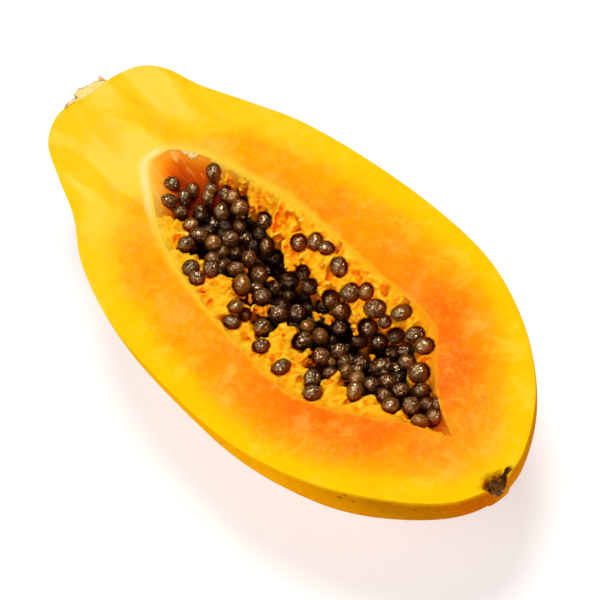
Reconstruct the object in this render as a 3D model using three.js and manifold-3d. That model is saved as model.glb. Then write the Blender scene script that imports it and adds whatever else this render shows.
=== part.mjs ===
// Half of a large papaya, cut lengthwise and lying on its rounded back with the cut face up and level.
// Millimetres, +Z up. +X runs from the stem end to the blossom end, and +Y is the fuller side of the neck.
// Two solids: the flesh with its skin, and the seed mass, which is the pulp that lines the hollow with
// the seeds grown on it.
import * as THREE from "three";
import { mergeVertices } from "three/addons/utils/BufferGeometryUtils.js";
import Module from "manifold-3d";

const wasm = await Module();
wasm.setup();

// ---- Driving dimensions ----
const FRUIT_LENGTH = 281; // along the cut, from the shoulders of the neck to the blossom end
const FRUIT_RADIUS = 62; // half the greatest width
const BACK_DEPTH = 1.0; // depth of the back, as a share of the half width at each place
const REST_FLAT = 1.5; // height pressed off the round back where it rests
const CAVITY_DEPTH = 34; // deepest point of the hollow below the cut face
const FIT_GAP = 0.35; // air between the flesh and the seed mass
const SEED_LENGTH = 6.6;
const SEED_WIDTH = 5.6;
const SEED_COUNT = 132;

// Outlines of the cut face as [along, across], where along is a share of the length from the stem end and
// across a share of the radius. The two sides differ a little, as on any fruit.
const RIM_FAR = [
  [0.005, 0], [0.0, 0.19], [0.013, 0.395], [0.053, 0.513], [0.126, 0.587], [0.217, 0.73], [0.309, 0.86],
  [0.431, 0.948], [0.58, 0.994], [0.715, 0.96], [0.829, 0.794], [0.918, 0.547], [0.977, 0.25], [1.0, 0],
];
const RIM_NEAR = [
  [0.005, 0], [0.0, -0.19], [0.011, -0.326], [0.05, -0.476], [0.125, -0.585], [0.21, -0.692], [0.301, -0.869],
  [0.431, -0.989], [0.58, -0.998], [0.715, -0.94], [0.829, -0.771], [0.918, -0.527], [0.977, -0.274], [1.0, 0],
];
const CAVITY_FAR = [
  [0.201, 0.016], [0.212, 0.121], [0.26, 0.23], [0.342, 0.321], [0.441, 0.403], [0.573, 0.418],
  [0.68, 0.43], [0.751, 0.403], [0.794, 0.266], [0.844, 0.105], [0.904, -0.008],
];
const CAVITY_NEAR = [
  [0.201, 0.016], [0.21, -0.081], [0.26, -0.198], [0.342, -0.36], [0.441, -0.452], [0.573, -0.503],
  [0.68, -0.5], [0.744, -0.419], [0.801, -0.268], [0.847, -0.126], [0.904, -0.008],
];
// Depth of the hollow at evenly spaced stations along it, as shares of the deepest.
const CAVITY_DEPTHS = [0, 0.36, 0.56, 0.78, 0.94, 1.0, 1.0, 0.9, 0.66, 0.4, 0];

// The pulp's surface across the hollow at its fullest, as [side, depth]: side runs from -1 at the near edge
// to 1 at the far edge. A broad shelf slopes in from the near edge, the deep gap is at GAP_SIDE, and the far
// wall is steep.
const GAP_SIDE = 0.28;
const PULP_PROFILE = [
  [-1, 0], [-0.72, 1.6], [-0.47, 4.5], [-0.22, 10], [0.06, 16], [0.28, 21], [0.42, 17], [0.64, 7.5], [0.85, 2],
  [1, 0],
];
// How much of that depth there is, and where the gap lies, at evenly spaced stations along the pulp.
const PULP_SCALES = [0.55, 0.75, 0.95, 1.0, 1.0, 1.0, 0.9, 0.66, 0.4, 0.25];
const GAP_SIDES = [0.45, 0.45, 0.4, 0.3, 0.22, 0.25, 0.45, 0.6, 0.6, 0.4];

const PULP_FROM = 0.3; // share of the length where the pulp starts; before it the wall is bare
const PULP_TO = 0.9;
const NECK_FLOOR = 11.5; // depth of the thin layer that holds the seeds before the pulp starts
const NECK_REACH = 18; // how far that layer runs towards the stem
const PULP_SHELF = 1.0; // how far below the cut face the pulp lies along both edges
const CRAG = 2.2; // height of the pulp's crags
const WALL_POWER = 2.4; // roundness of the hollow's section: 2 is an ellipse

const lerp = THREE.MathUtils.lerp;
const clamp = THREE.MathUtils.clamp;
const smooth = (from, to, value) => THREE.MathUtils.smoothstep(value, from, to);
const stationX = (share) => (share - 0.5) * FRUIT_LENGTH;

// A smooth curve through an outline's points, in millimetres.
function outline(points) {
  const knots = points.map(([along, across]) => new THREE.Vector3(stationX(along), across * FRUIT_RADIUS, 0));
  return new THREE.CatmullRomCurve3(knots, false, "catmullrom", 0.5);
}

// A value eased between evenly spaced stations.
function heights(values) {
  const last = values.length - 1;
  return (share) => {
    const at = clamp(share, 0, 1) * last;
    const from = Math.min(Math.floor(at), last - 1);
    return lerp(values[from], values[from + 1], at - from);
  };
}

// A value between rows of [place, value].
function between(rows, place) {
  const next = clamp(rows.findIndex(([at]) => at > place), 1, rows.length - 1);
  const row = place >= rows[rows.length - 1][0] ? rows.length - 1 : next;
  const [fromAt, fromValue] = rows[row - 1];
  const [toAt, toValue] = rows[row];
  return lerp(fromValue, toValue, clamp((place - fromAt) / (toAt - fromAt), 0, 1));
}

const rim = { far: outline(RIM_FAR), near: outline(RIM_NEAR) };
const cavity = { far: outline(CAVITY_FAR), near: outline(CAVITY_NEAR) };
const cavityDepth = heights(CAVITY_DEPTHS);
const pulpScale = heights(PULP_SCALES);
const gapSide = heights(GAP_SIDES);

// ---- Solids from meshes ----
function solid(geometry) {
  const open = geometry.index ? geometry.toNonIndexed() : geometry;
  const bare = new THREE.BufferGeometry();
  bare.setAttribute("position", open.getAttribute("position"));
  const merged = mergeVertices(bare, 1e-4);
  const mesh = new wasm.Mesh({
    numProp: 3,
    vertProperties: merged.attributes.position.array,
    triVerts: new Uint32Array(merged.index.array),
  });
  return new wasm.Manifold(mesh);
}

// Moves each vertex of a geometry to where place() puts it.
function shaped(geometry, place) {
  const position = geometry.getAttribute("position");
  for (let i = 0; i < position.count; i += 1) {
    const moved = place(position.getX(i), position.getY(i), position.getZ(i));
    position.setXYZ(i, ...moved);
  }
  return geometry;
}

// A sphere drawn out between two outlines: its poles are the outlines' ends. depthAt gives the half height
// at a share of the length, and inset shrinks the whole body by that many millimetres.
function loftedBody(sides, depthAt, power, inset, around, along) {
  const start = sides.far.getPoint(0).x;
  const end = sides.far.getPoint(1).x;
  const shrink = 1 - (2 * inset) / (end - start);
  return shaped(new THREE.SphereGeometry(1, around, along), (sx, sy, sz) => {
    const share = Math.acos(clamp(-sy, -1, 1)) / Math.PI;
    const t = 1 - share;
    const angle = Math.atan2(sz, sx);
    const far = sides.far.getPoint(t);
    const near = sides.near.getPoint(t);
    const half = Math.max(0, (far.y - near.y) / 2 - inset);
    const depth = Math.max(0, depthAt(t, (far.y - near.y) / 2) - inset);
    const across = Math.sign(Math.cos(angle)) * Math.abs(Math.cos(angle)) ** (2 / power);
    const up = Math.sign(Math.sin(angle)) * Math.abs(Math.sin(angle)) ** (2 / power);
    const pole = share < 1e-6 || share > 1 - 1e-6;
    const x = lerp(far.x, near.x, (1 - Math.cos(angle)) / 2);
    const middle = (start + end) / 2;
    return [
      middle + (x - middle) * shrink,
      (far.y + near.y) / 2 + (pole ? 0 : half * across),
      pole ? 0 : depth * up,
    ];
  });
}

const fruitBody = () =>
  loftedBody(rim, (t, half) => half * BACK_DEPTH, 2, 0, 48, 44);
const cavityBody = (inset) =>
  loftedBody(cavity, (t) => cavityDepth(t) * CAVITY_DEPTH, WALL_POWER, inset, 28, 30);

// ---- Places inside the hollow ----
// The curve's y where it passes a given x.
function edgeAt(curve, x) {
  let low = 0;
  let high = 1;
  for (let i = 0; i < 24; i += 1) {
    const middle = (low + high) / 2;
    if (curve.getPoint(middle).x < x) low = middle;
    else high = middle;
  }
  return curve.getPoint((low + high) / 2).y;
}

// The hollow's middle line and half width at x.
function cavityAt(x) {
  const far = edgeAt(cavity.far, x);
  const near = edgeAt(cavity.near, x);
  return { middle: (far + near) / 2, half: Math.max((far - near) / 2, 0.01) };
}

// Depth of the pulp's surface below the cut face at x and at side.
function pulpDepth(x, side) {
  const share = (x - stationX(PULP_FROM)) / (stationX(PULP_TO) - stationX(PULP_FROM));
  const gap = gapSide(share);
  const like =
    side < gap ? lerp(-1, GAP_SIDE, (side + 1) / (gap + 1)) : lerp(GAP_SIDE, 1, (side - gap) / (1 - gap));
  const crags =
    Math.sin(0.83 * x + 2.1 * Math.sin(2.6 * side)) * Math.cos(0.37 * x - 7.5 * side) +
    0.6 * Math.sin(1.31 * x + 9.0 * side);
  const bedded = PULP_SHELF + pulpScale(share) * between(PULP_PROFILE, like) + CRAG * (0.5 + 0.3 * crags);
  return lerp(NECK_FLOOR, bedded, smooth(-5, 5, x - stationX(PULP_FROM) + 4 * Math.sin(5 * side)));
}

// The air above the pulp: a block whose underside is the pulp's surface.
function airAbovePulp() {
  const from = stationX(PULP_FROM) - NECK_REACH - 20;
  const to = stationX(PULP_TO) + 12;
  return shaped(new THREE.BoxGeometry(1, 1, 1, 44, 15, 1), (bx, by, bz) => {
    const x = lerp(from, to, bx + 0.5);
    const side = clamp(by * 2, -1, 1);
    const place = cavityAt(clamp(x, stationX(0.203), stationX(0.902)));
    return [x, place.middle + side * (place.half + 3), bz > 0 ? 12 : -pulpDepth(x, side)];
  });
}

// ---- Seeds ----
// Evenly spread numbers from 0 to 1, the same in every run.
const spread = (i, step) => (0.5 + i * step) % 1;

// Seeds lie close together over the pulp, each clear of those before it. Few are on the shelves along the
// two edges, except towards the blossom end, where they fill the hollow from side to side.
function seedPlaces() {
  const touch = SEED_WIDTH * 0.9;
  const from = stationX(PULP_FROM) - NECK_REACH;
  const to = stationX(PULP_TO) - 3;
  const places = [];
  for (let number = 1; places.length < SEED_COUNT && number < 4000; number += 1) {
    const x = lerp(from, to, spread(number, 0.7548776662466927));
    const side = lerp(-0.94, 0.94, spread(number, 0.5698402909980532));
    const { middle, half } = cavityAt(x);
    const inTip = smooth(52, 66, x);
    const shelf = Math.max(1 - smooth(-0.6, -0.42, side), smooth(0.5, 0.66, side)) * (1 - inTip);
    const kept = spread(number, 0.3819660112501051) > shelf * 0.95;
    const sunk = lerp(0.38, 0, spread(number, 0.6180339887498949));
    const place = { x, y: middle + side * half, z: -pulpDepth(x, side) + sunk * SEED_WIDTH, number };
    const inside = half * (1 - Math.abs(side)) > SEED_WIDTH * 0.4;
    const clear = places.every((o) => Math.hypot(o.x - place.x, o.y - place.y, o.z - place.z) > touch);
    if (kept && inside && clear) places.push(place);
  }
  return places;
}

function seed(place) {
  const turn = new THREE.Euler(place.number * 2.4, place.number * 1.1, place.number * 0.7);
  const size = lerp(0.9, 1.1, spread(place.number, 0.27));
  const shape = new THREE.OctahedronGeometry(0.5, 1);
  shape.scale(SEED_LENGTH * size, SEED_WIDTH * size, SEED_WIDTH * size);
  shape.applyMatrix4(new THREE.Matrix4().makeRotationFromEuler(turn));
  shape.translate(place.x, place.y, place.z);
  return solid(shape);
}

// ---- The flesh ----
const STEM_SCAR = { x: -140.2, y: -2.6, radius: 10.4, height: 5 };
const BLOSSOM_SCAR = { x: 137.6, y: -1.6, z: -2.5, radius: 6 };

// The dry remains of the stalk: a low ragged disc, thinner towards its outer edge.
function stemStub() {
  const disc = new THREE.CylinderGeometry(STEM_SCAR.radius * 0.86, STEM_SCAR.radius, STEM_SCAR.height, 18, 1);
  disc.rotateZ(Math.PI / 2);
  return shaped(disc, (x, y, z) => {
    const ragged = 1.1 * Math.sin(2.3 * y + 1.1) * Math.cos(1.9 * z);
    const outward = x < 0 && Math.hypot(y, z) > 1 ? ragged : 0;
    return [STEM_SCAR.x + x + outward, STEM_SCAR.y + y, z];
  });
}

// The dried flower's scar: a rough knob in a notch of the blossom end.
function blossomKnob(radius, roughness) {
  const knob = new THREE.IcosahedronGeometry(radius, 1);
  return shaped(knob, (x, y, z) => {
    const swell = 1 + roughness * Math.sin(1.7 * x + 2.3 * y) * Math.cos(2.1 * z - x);
    return [BLOSSOM_SCAR.x + x * 0.62 * swell, BLOSSOM_SCAR.y + y * 1.25 * swell, BLOSSOM_SCAR.z + z * swell];
  });
}

function largest(made) {
  return made.decompose().reduce((best, part) => (part.volume() > best.volume() ? part : best));
}

// Everything above the cut face, and everything below the resting flat.
function slab(low, high) {
  const block = new THREE.BoxGeometry(2 * FRUIT_LENGTH, 6 * FRUIT_RADIUS, high - low);
  block.translate(0, 0, (high + low) / 2);
  return solid(block);
}
const aboveCut = slab(0, 2 * FRUIT_RADIUS);
const belowRest = slab(-3 * FRUIT_RADIUS, REST_FLAT - FRUIT_RADIUS * BACK_DEPTH);

function makeFlesh() {
  const notch = solid(blossomKnob(BLOSSOM_SCAR.radius * 1.12, 0.1));
  const knob = solid(blossomKnob(BLOSSOM_SCAR.radius, 0.25));
  const whole = solid(fruitBody()).subtract(notch).add(knob).add(solid(stemStub()));
  return largest(whole.subtract(aboveCut).subtract(belowRest).subtract(solid(cavityBody(0))));
}

function makeSeedMass() {
  const room = solid(cavityBody(FIT_GAP));
  const pulp = largest(room.subtract(aboveCut).subtract(solid(airAbovePulp())));
  const withSeeds = seedPlaces().reduce((made, place) => made.add(seed(place)), pulp);
  return largest(withSeeds.intersect(room));
}

// ---- The scene graph ----
function named(name, made, colour, roughness) {
  const mesh = made.getMesh();
  const geometry = new THREE.BufferGeometry();
  geometry.setAttribute("position", new THREE.BufferAttribute(mesh.vertProperties, 3));
  geometry.setIndex(new THREE.BufferAttribute(mesh.triVerts, 1));
  const material = new THREE.MeshStandardMaterial({ color: colour, roughness, metalness: 0 });
  const part = new THREE.Mesh(geometry, material);
  part.name = name;
  return part;
}

// The origin is the middle of the half's outline, on what it rests on.
function centred(parts) {
  const box = parts.reduce((made, part) => made.expandByObject(part), new THREE.Box3());
  const middle = box.getCenter(new THREE.Vector3());
  for (const part of parts) part.geometry.translate(-middle.x, -middle.y, -box.min.z);
  return parts;
}

const group = new THREE.Group();
const flesh = named("flesh", makeFlesh(), 0xf9a51a, 0.45);
const seedMass = named("seed_mass", makeSeedMass(), 0x4a3420, 0.3);
group.add(...centred([flesh, seedMass]));

export default group;
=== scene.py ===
# %% [markdown]
# # Half of a ripe papaya
# The fruit was cut lengthwise and lies on its rounded skin, with the cut face up and level. The model has four
# kinds of thing in it: the flesh with its skin, the ragged pulp that lines the hollow, the seeds that grow on the
# pulp, and the two dry scars at the ends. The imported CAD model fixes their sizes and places, so it is loaded first.

# %% Loading the frame
import bisect
import math
import random

import bmesh
import bpy
from mathutils import Matrix, Vector, kdtree, noise


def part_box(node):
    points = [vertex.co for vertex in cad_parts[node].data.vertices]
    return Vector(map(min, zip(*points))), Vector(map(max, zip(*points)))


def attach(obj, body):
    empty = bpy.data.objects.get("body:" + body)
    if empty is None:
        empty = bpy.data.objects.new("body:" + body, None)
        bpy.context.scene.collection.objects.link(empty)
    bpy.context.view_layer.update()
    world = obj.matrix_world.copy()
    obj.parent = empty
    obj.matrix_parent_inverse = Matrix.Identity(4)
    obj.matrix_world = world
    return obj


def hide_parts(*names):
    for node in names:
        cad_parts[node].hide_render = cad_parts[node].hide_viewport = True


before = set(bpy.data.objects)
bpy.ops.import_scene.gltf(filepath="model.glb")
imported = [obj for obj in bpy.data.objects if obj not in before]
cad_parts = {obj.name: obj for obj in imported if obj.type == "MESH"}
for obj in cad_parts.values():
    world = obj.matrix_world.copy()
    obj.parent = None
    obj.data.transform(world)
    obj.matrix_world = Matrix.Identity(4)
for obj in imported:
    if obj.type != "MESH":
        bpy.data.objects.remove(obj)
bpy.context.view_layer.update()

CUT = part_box("flesh")[1].z * 1000  # height of the cut face; all lengths here are in mm until a mesh is finished
print("cut face at", round(CUT, 1), "mm")

# %% [markdown]
# ## The camera
# It looks down on the cut face from beyond the blossom end, and is rolled a little, so that the fruit lies across
# the frame from corner to corner. The seeds that matter most to the likeness are placed by where they appear in
# the frame, so the camera comes before them. seen_at follows the line of sight through a point of the frame down
# to a given depth below the cut.

# %% The camera
MIDDLE = Vector((1.3, 0.3))  # where the outline's own middle sits in the frame
LOOK_AT = Vector((25.3, -2.0, CUT))
DISTANCE, RISE, TURN, ROLL, LENS, SENSOR = 671.1, 48, 69.77, -20, 108, 36
FRAME = 600  # width and height of the frame, in its own units

rise, turn = math.radians(RISE), math.radians(TURN)
back = Vector((math.sin(turn) * math.cos(rise), -math.cos(turn) * math.cos(rise), math.sin(rise)))
stand = LOOK_AT + back * DISTANCE
facing = (-back).to_track_quat("-Z", "Y").to_matrix() @ Matrix.Rotation(math.radians(ROLL), 3, "Z")

camera = bpy.data.objects.new("camera", bpy.data.cameras.new("camera"))
camera.data.lens, camera.data.sensor_width = LENS, SENSOR
camera.data.clip_start, camera.data.clip_end = 0.01, 20
camera.matrix_world = Matrix.LocRotScale(stand / 1000, facing.to_quaternion(), None)
bpy.context.collection.objects.link(camera)
bpy.context.scene.camera = camera


def sight(across, down):
    """The line of sight through a point of the frame."""
    right, up = (across - FRAME / 2) * SENSOR / FRAME, (FRAME / 2 - down) * SENSOR / FRAME
    return (facing @ Vector((right, up, -LENS))).normalized()


def seen_at(across, down, depth):
    """The place on that line of sight that lies depth mm below the cut face."""
    line = sight(across, down)
    return stand + line * ((CUT - depth - stand.z) / line.z)


# %% [markdown]
# ## The outlines
# Two outlines shape nearly everything: the edge of the cut face, where the skin begins, and the edge of the hollow.
# Each has a far and a near side, given as a few points [along, across] in shares of the fruit's length and radius.
# A Catmull-Rom curve passes through every point it is given, so the points can be read as places on the fruit.
# walk() takes even steps along the curve, because points that are close together would otherwise bunch the mesh.

# %% The outlines
LENGTH, RADIUS = 281, 62
FINE = 600  # short steps along each side of an outline
RIM_FAR = [
    (0.005, 0), (0.0, 0.19), (0.013, 0.395), (0.053, 0.513), (0.126, 0.587), (0.217, 0.73), (0.309, 0.86),
    (0.431, 0.948), (0.58, 0.994), (0.715, 0.96), (0.829, 0.794), (0.918, 0.547), (0.977, 0.25), (1.0, 0),
]
RIM_NEAR = [
    (0.005, 0), (0.0, -0.19), (0.011, -0.326), (0.05, -0.476), (0.125, -0.585), (0.21, -0.692), (0.301, -0.869),
    (0.431, -0.989), (0.58, -0.998), (0.715, -0.94), (0.829, -0.771), (0.918, -0.527), (0.977, -0.274), (1.0, 0),
]
HOLLOW_FAR = [
    (0.201, 0.016), (0.212, 0.121), (0.26, 0.23), (0.342, 0.321), (0.441, 0.403), (0.573, 0.418),
    (0.68, 0.43), (0.751, 0.403), (0.794, 0.266), (0.844, 0.105), (0.904, -0.008),
]
HOLLOW_NEAR = [
    (0.201, 0.016), (0.21, -0.081), (0.26, -0.198), (0.342, -0.36), (0.441, -0.452), (0.573, -0.503),
    (0.68, -0.5), (0.744, -0.419), (0.801, -0.268), (0.847, -0.126), (0.904, -0.008),
]


def along(share):
    """Distance along the fruit, from a share of its length."""
    return (share - 0.5) * LENGTH + MIDDLE.x


def mix(a, b, share):
    return a + (b - a) * share


def ease(low, high, value):
    """0 on low's side, 1 on high's side, and a smooth change between."""
    share = min(max((value - low) / (high - low), 0), 1)
    return share * share * (3 - 2 * share)


def stepped(values, share):
    """A value read off evenly spaced stations."""
    at = min(max(share, 0), 1) * (len(values) - 1)
    i = min(int(at), len(values) - 2)
    return mix(values[i], values[i + 1], at - i)


class Outline:
    """Two curved sides with shared ends, walked at an even pace."""

    def __init__(self, far, near):
        self.sides = [
            [Vector((along(a), b * RADIUS + MIDDLE.y)) for a, b in points] for points in (far, near)
        ]
        fine = [[self.at(side, i / FINE) for i in range(FINE + 1)] for side in (0, 1)]
        self.walked = [0]
        for i in range(FINE):
            self.walked.append(self.walked[-1] + sum((s[i + 1] - s[i]).length for s in fine))
        self.edge = kdtree.KDTree(2 * FINE + 2)
        for i, p in enumerate(fine[0] + fine[1]):
            self.edge.insert((p.x, p.y, 0), i)
        self.edge.balance()
        self.fine = fine

    def at(self, side, t):
        points = self.sides[side]
        last = len(points) - 1
        place = min(max(t, 0), 1) * last
        i = min(int(place), last - 1)
        w, b, c = place - i, points[i], points[i + 1]
        a = points[i - 1] if i else 2 * b - c
        d = points[i + 2] if i + 2 <= last else 2 * c - b
        v1, v2 = (c - a) / 2, (d - b) / 2
        return b + v1 * w + (3 * (c - b) - 2 * v1 - v2) * w**2 + (2 * (b - c) + v1 + v2) * w**3

    def walk(self, share):
        """The curve's own parameter after an even share of the way."""
        goal = share * self.walked[-1]
        i = min(max(bisect.bisect(self.walked, goal) - 1, 0), FINE - 1)
        return (i + (goal - self.walked[i]) / (self.walked[i + 1] - self.walked[i])) / FINE

    def distance(self, x, y):
        return self.edge.find((x, y, 0))[2]

    def span(self, x):
        """The middle and the half width at x."""
        ys = []
        for side in self.fine:
            i = min(max(bisect.bisect([p.x for p in side], x), 1), FINE)
            p, q = side[i - 1], side[i]
            ys.append(mix(p.y, q.y, min(max((x - p.x) / max(q.x - p.x, 1e-6), 0), 1)))
        return (ys[0] + ys[1]) / 2, max((ys[0] - ys[1]) / 2, 0.01)


rim = Outline(RIM_FAR, RIM_NEAR)
hollow = Outline(HOLLOW_FAR, HOLLOW_NEAR)
SPANS_FROM, SPANS_TO = -90, 119
spans = {x: hollow.span(x) for x in range(SPANS_FROM, SPANS_TO + 1)}


def hollow_at(x):
    """The hollow's middle line and half width at x, from a table made once."""
    i = min(max(math.floor(x), SPANS_FROM), SPANS_TO - 1)
    (m1, h1), (m2, h2) = spans[i], spans[i + 1]
    return mix(m1, m2, x - i), mix(h1, h2, x - i)


print("rim", round(rim.walked[-1]), "mm round, hollow", round(hollow.walked[-1]), "mm round")

# %% [markdown]
# ## Writing materials as sums
# A finish is a small program of nodes. Written node by node it is hard to read, so two helpers are made first.
# Number wraps the socket of a value, and the usual signs on it add Math nodes, so that 1 - mask works. Finish holds
# one material, and its node method adds any other node, with the settings first and then the sockets.

# %% Helpers for materials
class Number:
    """A changing value in a material; + - * / ** on it add Math nodes."""

    def __init__(self, finish, socket):
        self.finish, self.socket = finish, socket

    def maths(self, operation, *values):
        return Number(self.finish, self.finish.node(
            "ShaderNodeMath", {"operation": operation}, dict(enumerate(values))).outputs[0])

    def __add__(self, other):
        return self.maths("ADD", self, other)

    def __sub__(self, other):
        return self.maths("SUBTRACT", self, other)

    def __rsub__(self, other):
        return self.maths("SUBTRACT", other, self)

    def __mul__(self, other):
        return self.maths("MULTIPLY", self, other)

    def __truediv__(self, other):
        return self.maths("DIVIDE", self, other)

    def __pow__(self, other):
        return self.maths("POWER", self, other)

    def __abs__(self):
        return self.maths("ABSOLUTE", self)

    def above(self, low, high):
        """0 below low, 1 above high, smooth between; low may be the larger of the two."""
        if low > high:
            return 1 - self.above(high, low)
        node = self.finish.node("ShaderNodeMapRange", {"interpolation_type": "SMOOTHSTEP"},
                                {0: self, 1: low, 2: high})
        return Number(self.finish, node.outputs[0])

    __radd__, __rmul__ = __add__, __mul__


def colour(red, green, blue):
    """A colour given on the usual scale of 0 to 255, as the light values that a shader works in."""
    light = [c / 255 / 12.92 if c <= 10 else ((c / 255 + 0.055) / 1.055) ** 2.4 for c in (red, green, blue)]
    return (*light, 1)


class Finish:
    """One material, ending in a Principled surface whose constants are given by name."""

    def __init__(self, name, **constants):
        self.material = bpy.data.materials.new(name)
        self.material.use_nodes = True
        self.tree = self.material.node_tree
        self.tree.nodes.clear()
        self.surface = self.node("ShaderNodeBsdfPrincipled", {}, {
            key.replace("_", " "): value for key, value in constants.items()})
        self.node("ShaderNodeOutputMaterial", {}, {"Surface": self.surface.outputs[0]})
        self.place = self.node("ShaderNodeTexCoord").outputs["Object"]

    def node(self, kind, settings=None, sockets=None):
        node = self.tree.nodes.new(kind)
        for key, value in (settings or {}).items():
            if key == "stops":
                ramp = node.color_ramp
                while len(ramp.elements) < len(value):
                    ramp.elements.new(0.5)
                for element, (at, shade) in zip(ramp.elements, value):
                    element.position, element.color = at, shade
            else:
                setattr(node, key, value)
        for key, value in (sockets or {}).items():
            self.feed(node.inputs[key], value)
        return node

    def feed(self, socket, value):
        value = value.socket if isinstance(value, Number) else value
        if isinstance(value, bpy.types.NodeSocket):
            self.tree.links.new(value, socket)
        else:
            socket.default_value = value

    def attribute(self, name):
        return Number(self, self.node("ShaderNodeAttribute", {"attribute_name": name}).outputs["Fac"])

    def axes(self):
        """The place along, across and up, in mm."""
        split = self.node("ShaderNodeSeparateXYZ", {}, {0: self.place})
        return [Number(self, socket) * 1000 for socket in split.outputs]

    def stretched(self, x, y, z):
        """The place in mm, scaled along each axis, for patterns that run one way."""
        return self.node("ShaderNodeVectorMath", {"operation": "MULTIPLY"},
                         {0: self.place, 1: (1000 * x, 1000 * y, 1000 * z)}).outputs[0]

    def noise(self, size, detail=2, roughness=0.5, where=None, distortion=0):
        """Noise from 0 to 1 whose lumps are about size mm across."""
        node = self.node("ShaderNodeTexNoise", {}, {
            "Vector": where or self.place, "Scale": (1000 if where is None else 1) / size, "Detail": detail,
            "Roughness": roughness, "Distortion": distortion})
        return Number(self, node.outputs[0])

    def cells(self, size):
        """Distance to the nearest of many scattered spots, about size mm apart."""
        node = self.node("ShaderNodeTexVoronoi", {}, {"Vector": self.place, "Scale": 1000 / size})
        return Number(self, node.outputs["Distance"])

    def ramp(self, value, *stops):
        """Colours read off a changing value; a stop is (at, red, green, blue), or (at, share) for a plain share."""
        shades = [(at, colour(*shade) if len(shade) == 3 else (*shade * 3, 1)) for at, *shade in stops]
        return self.node("ShaderNodeValToRGB", {"stops": shades}, {0: value}).outputs[0]

    def blend(self, share, one, other):
        return self.node("ShaderNodeMix", {"data_type": "RGBA"}, {0: share, 6: one, 7: other}).outputs[2]

    def layered(self, base, *layers):
        """base with colours laid over it in turn; each layer is (share, red, green, blue)."""
        for share, *shade in layers:
            base = self.blend(share, base, colour(*shade))
        return base

    def relief(self, *layers):
        """Bump nodes in a chain; each layer is (height from 0 to 1, depth in mm, strength)."""
        normal = None
        for height, depth, strength in layers:
            sockets = {"Height": height, "Distance": depth / 1000, "Strength": strength}
            if normal:
                sockets["Normal"] = normal
            normal = self.node("ShaderNodeBump", {}, sockets).outputs[0]
        self.feed(self.surface.inputs["Normal"], normal)

    def show(self, **sockets):
        for key, value in sockets.items():
            self.feed(self.surface.inputs[key.replace("_", " ")], value)


def finished(mesh_maker, name, finishes, replaced):
    """Turns a bmesh in mm into a piece of the object: metres, smooth faces, finishes and its place in the frame."""
    bmesh.ops.scale(mesh_maker, vec=(0.001,) * 3, verts=mesh_maker.verts)
    mesh = bpy.data.meshes.new(name)
    mesh_maker.to_mesh(mesh)
    mesh_maker.free()
    mesh.shade_smooth()
    for finish in finishes:
        mesh.materials.append(finish.material)
    piece = bpy.data.objects.new(name, mesh)
    bpy.context.collection.objects.link(piece)
    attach(piece, "root")
    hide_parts(replaced)
    print(name, "has", sum(len(p.vertices) - 2 for p in mesh.polygons), "triangles")
    return piece


# %% [markdown]
# ## The flesh
# The half is one closed shell: skin outside, cut face on top, and the wall of the hollow inside. It could be cut
# out of a solid with booleans, but their edges shade badly. A flat grid bent round the fruit gives clean rings
# instead: its rows go from the keel up the skin, over the rim, across the cut face and down into the hollow, and
# its columns go once round the fruit. Each row of the grid is told where to lie, and the seam and poles are merged.

# %% The flesh's form
COLUMNS = 600
SKIN, RIM_EDGE, FACE, HOLLOW_EDGE, WALL = 30, 4, 46, 5, 24  # rows of the grid on each part
ROWS = SKIN + RIM_EDGE + FACE + HOLLOW_EDGE + WALL
HOLLOW_DEPTH = 34
HOLLOW_DEPTHS = [0, 0.15, 0.38, 0.72, 0.94, 1.0, 1.0, 0.9, 0.62, 0.3, 0]  # shares of it, from the stem end on
RIM_ROUND = 0.45
FLAT_BELOW = 4  # the resting flat and the skin next to it stay smooth up to this height
SCAR_X, SCAR_Y, SCAR_LONG, SCAR_WIDE = along(0.9885), MIDDLE.y - 1.2, 3.6, 4.7
SCAR_NOTCH = 3.4  # how deep the cut face dips round the flower's scar


def mouth_round(x):
    """Radius of the hollow's edge, which is a little softer at the stem end."""
    return mix(0.4, 0.5, ease(-74, -54, x))


def mouth_bend(x):
    """How far the hollow's edge turns over, in radians, before the wall goes on; the neck's wall is not steep."""
    return math.radians(mix(42, 90, ease(-72, -60, x)))


def scar_reach(x, y):
    """Distance from the middle of the flower's scar, in widths of the scar."""
    ragged = noise.fractal(Vector((x / 3, y / 3, 7)), 0.8, 2.1, 3) * 0.3
    return math.hypot((x - SCAR_X) / SCAR_LONG, (y - SCAR_Y) / SCAR_WIDE) + ragged


def body_ring(outline, side, t, angle, depth_at, power):
    """A point of a body slung under an outline; angle is 0 at the outline and 90 at the keel."""
    far, near = outline.at(0, t), outline.at(1, t)
    half, turned = (far.y - near.y) / 2, math.cos(angle) * (1 if side == 0 else -1)
    across = math.copysign(abs(turned) ** (2 / power), turned)
    return Vector((
        mix(far.x, near.x, (1 - turned) / 2),
        (far.y + near.y) / 2 + half * across,
        CUT - depth_at(t, half) * math.sin(angle) ** (2 / power),
    ))


def wall_power(x):
    """How square the hollow is across: a round bowl in the neck, steeper walls further on."""
    return mix(1.0, 2.4, ease(-70, -30, x))


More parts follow.
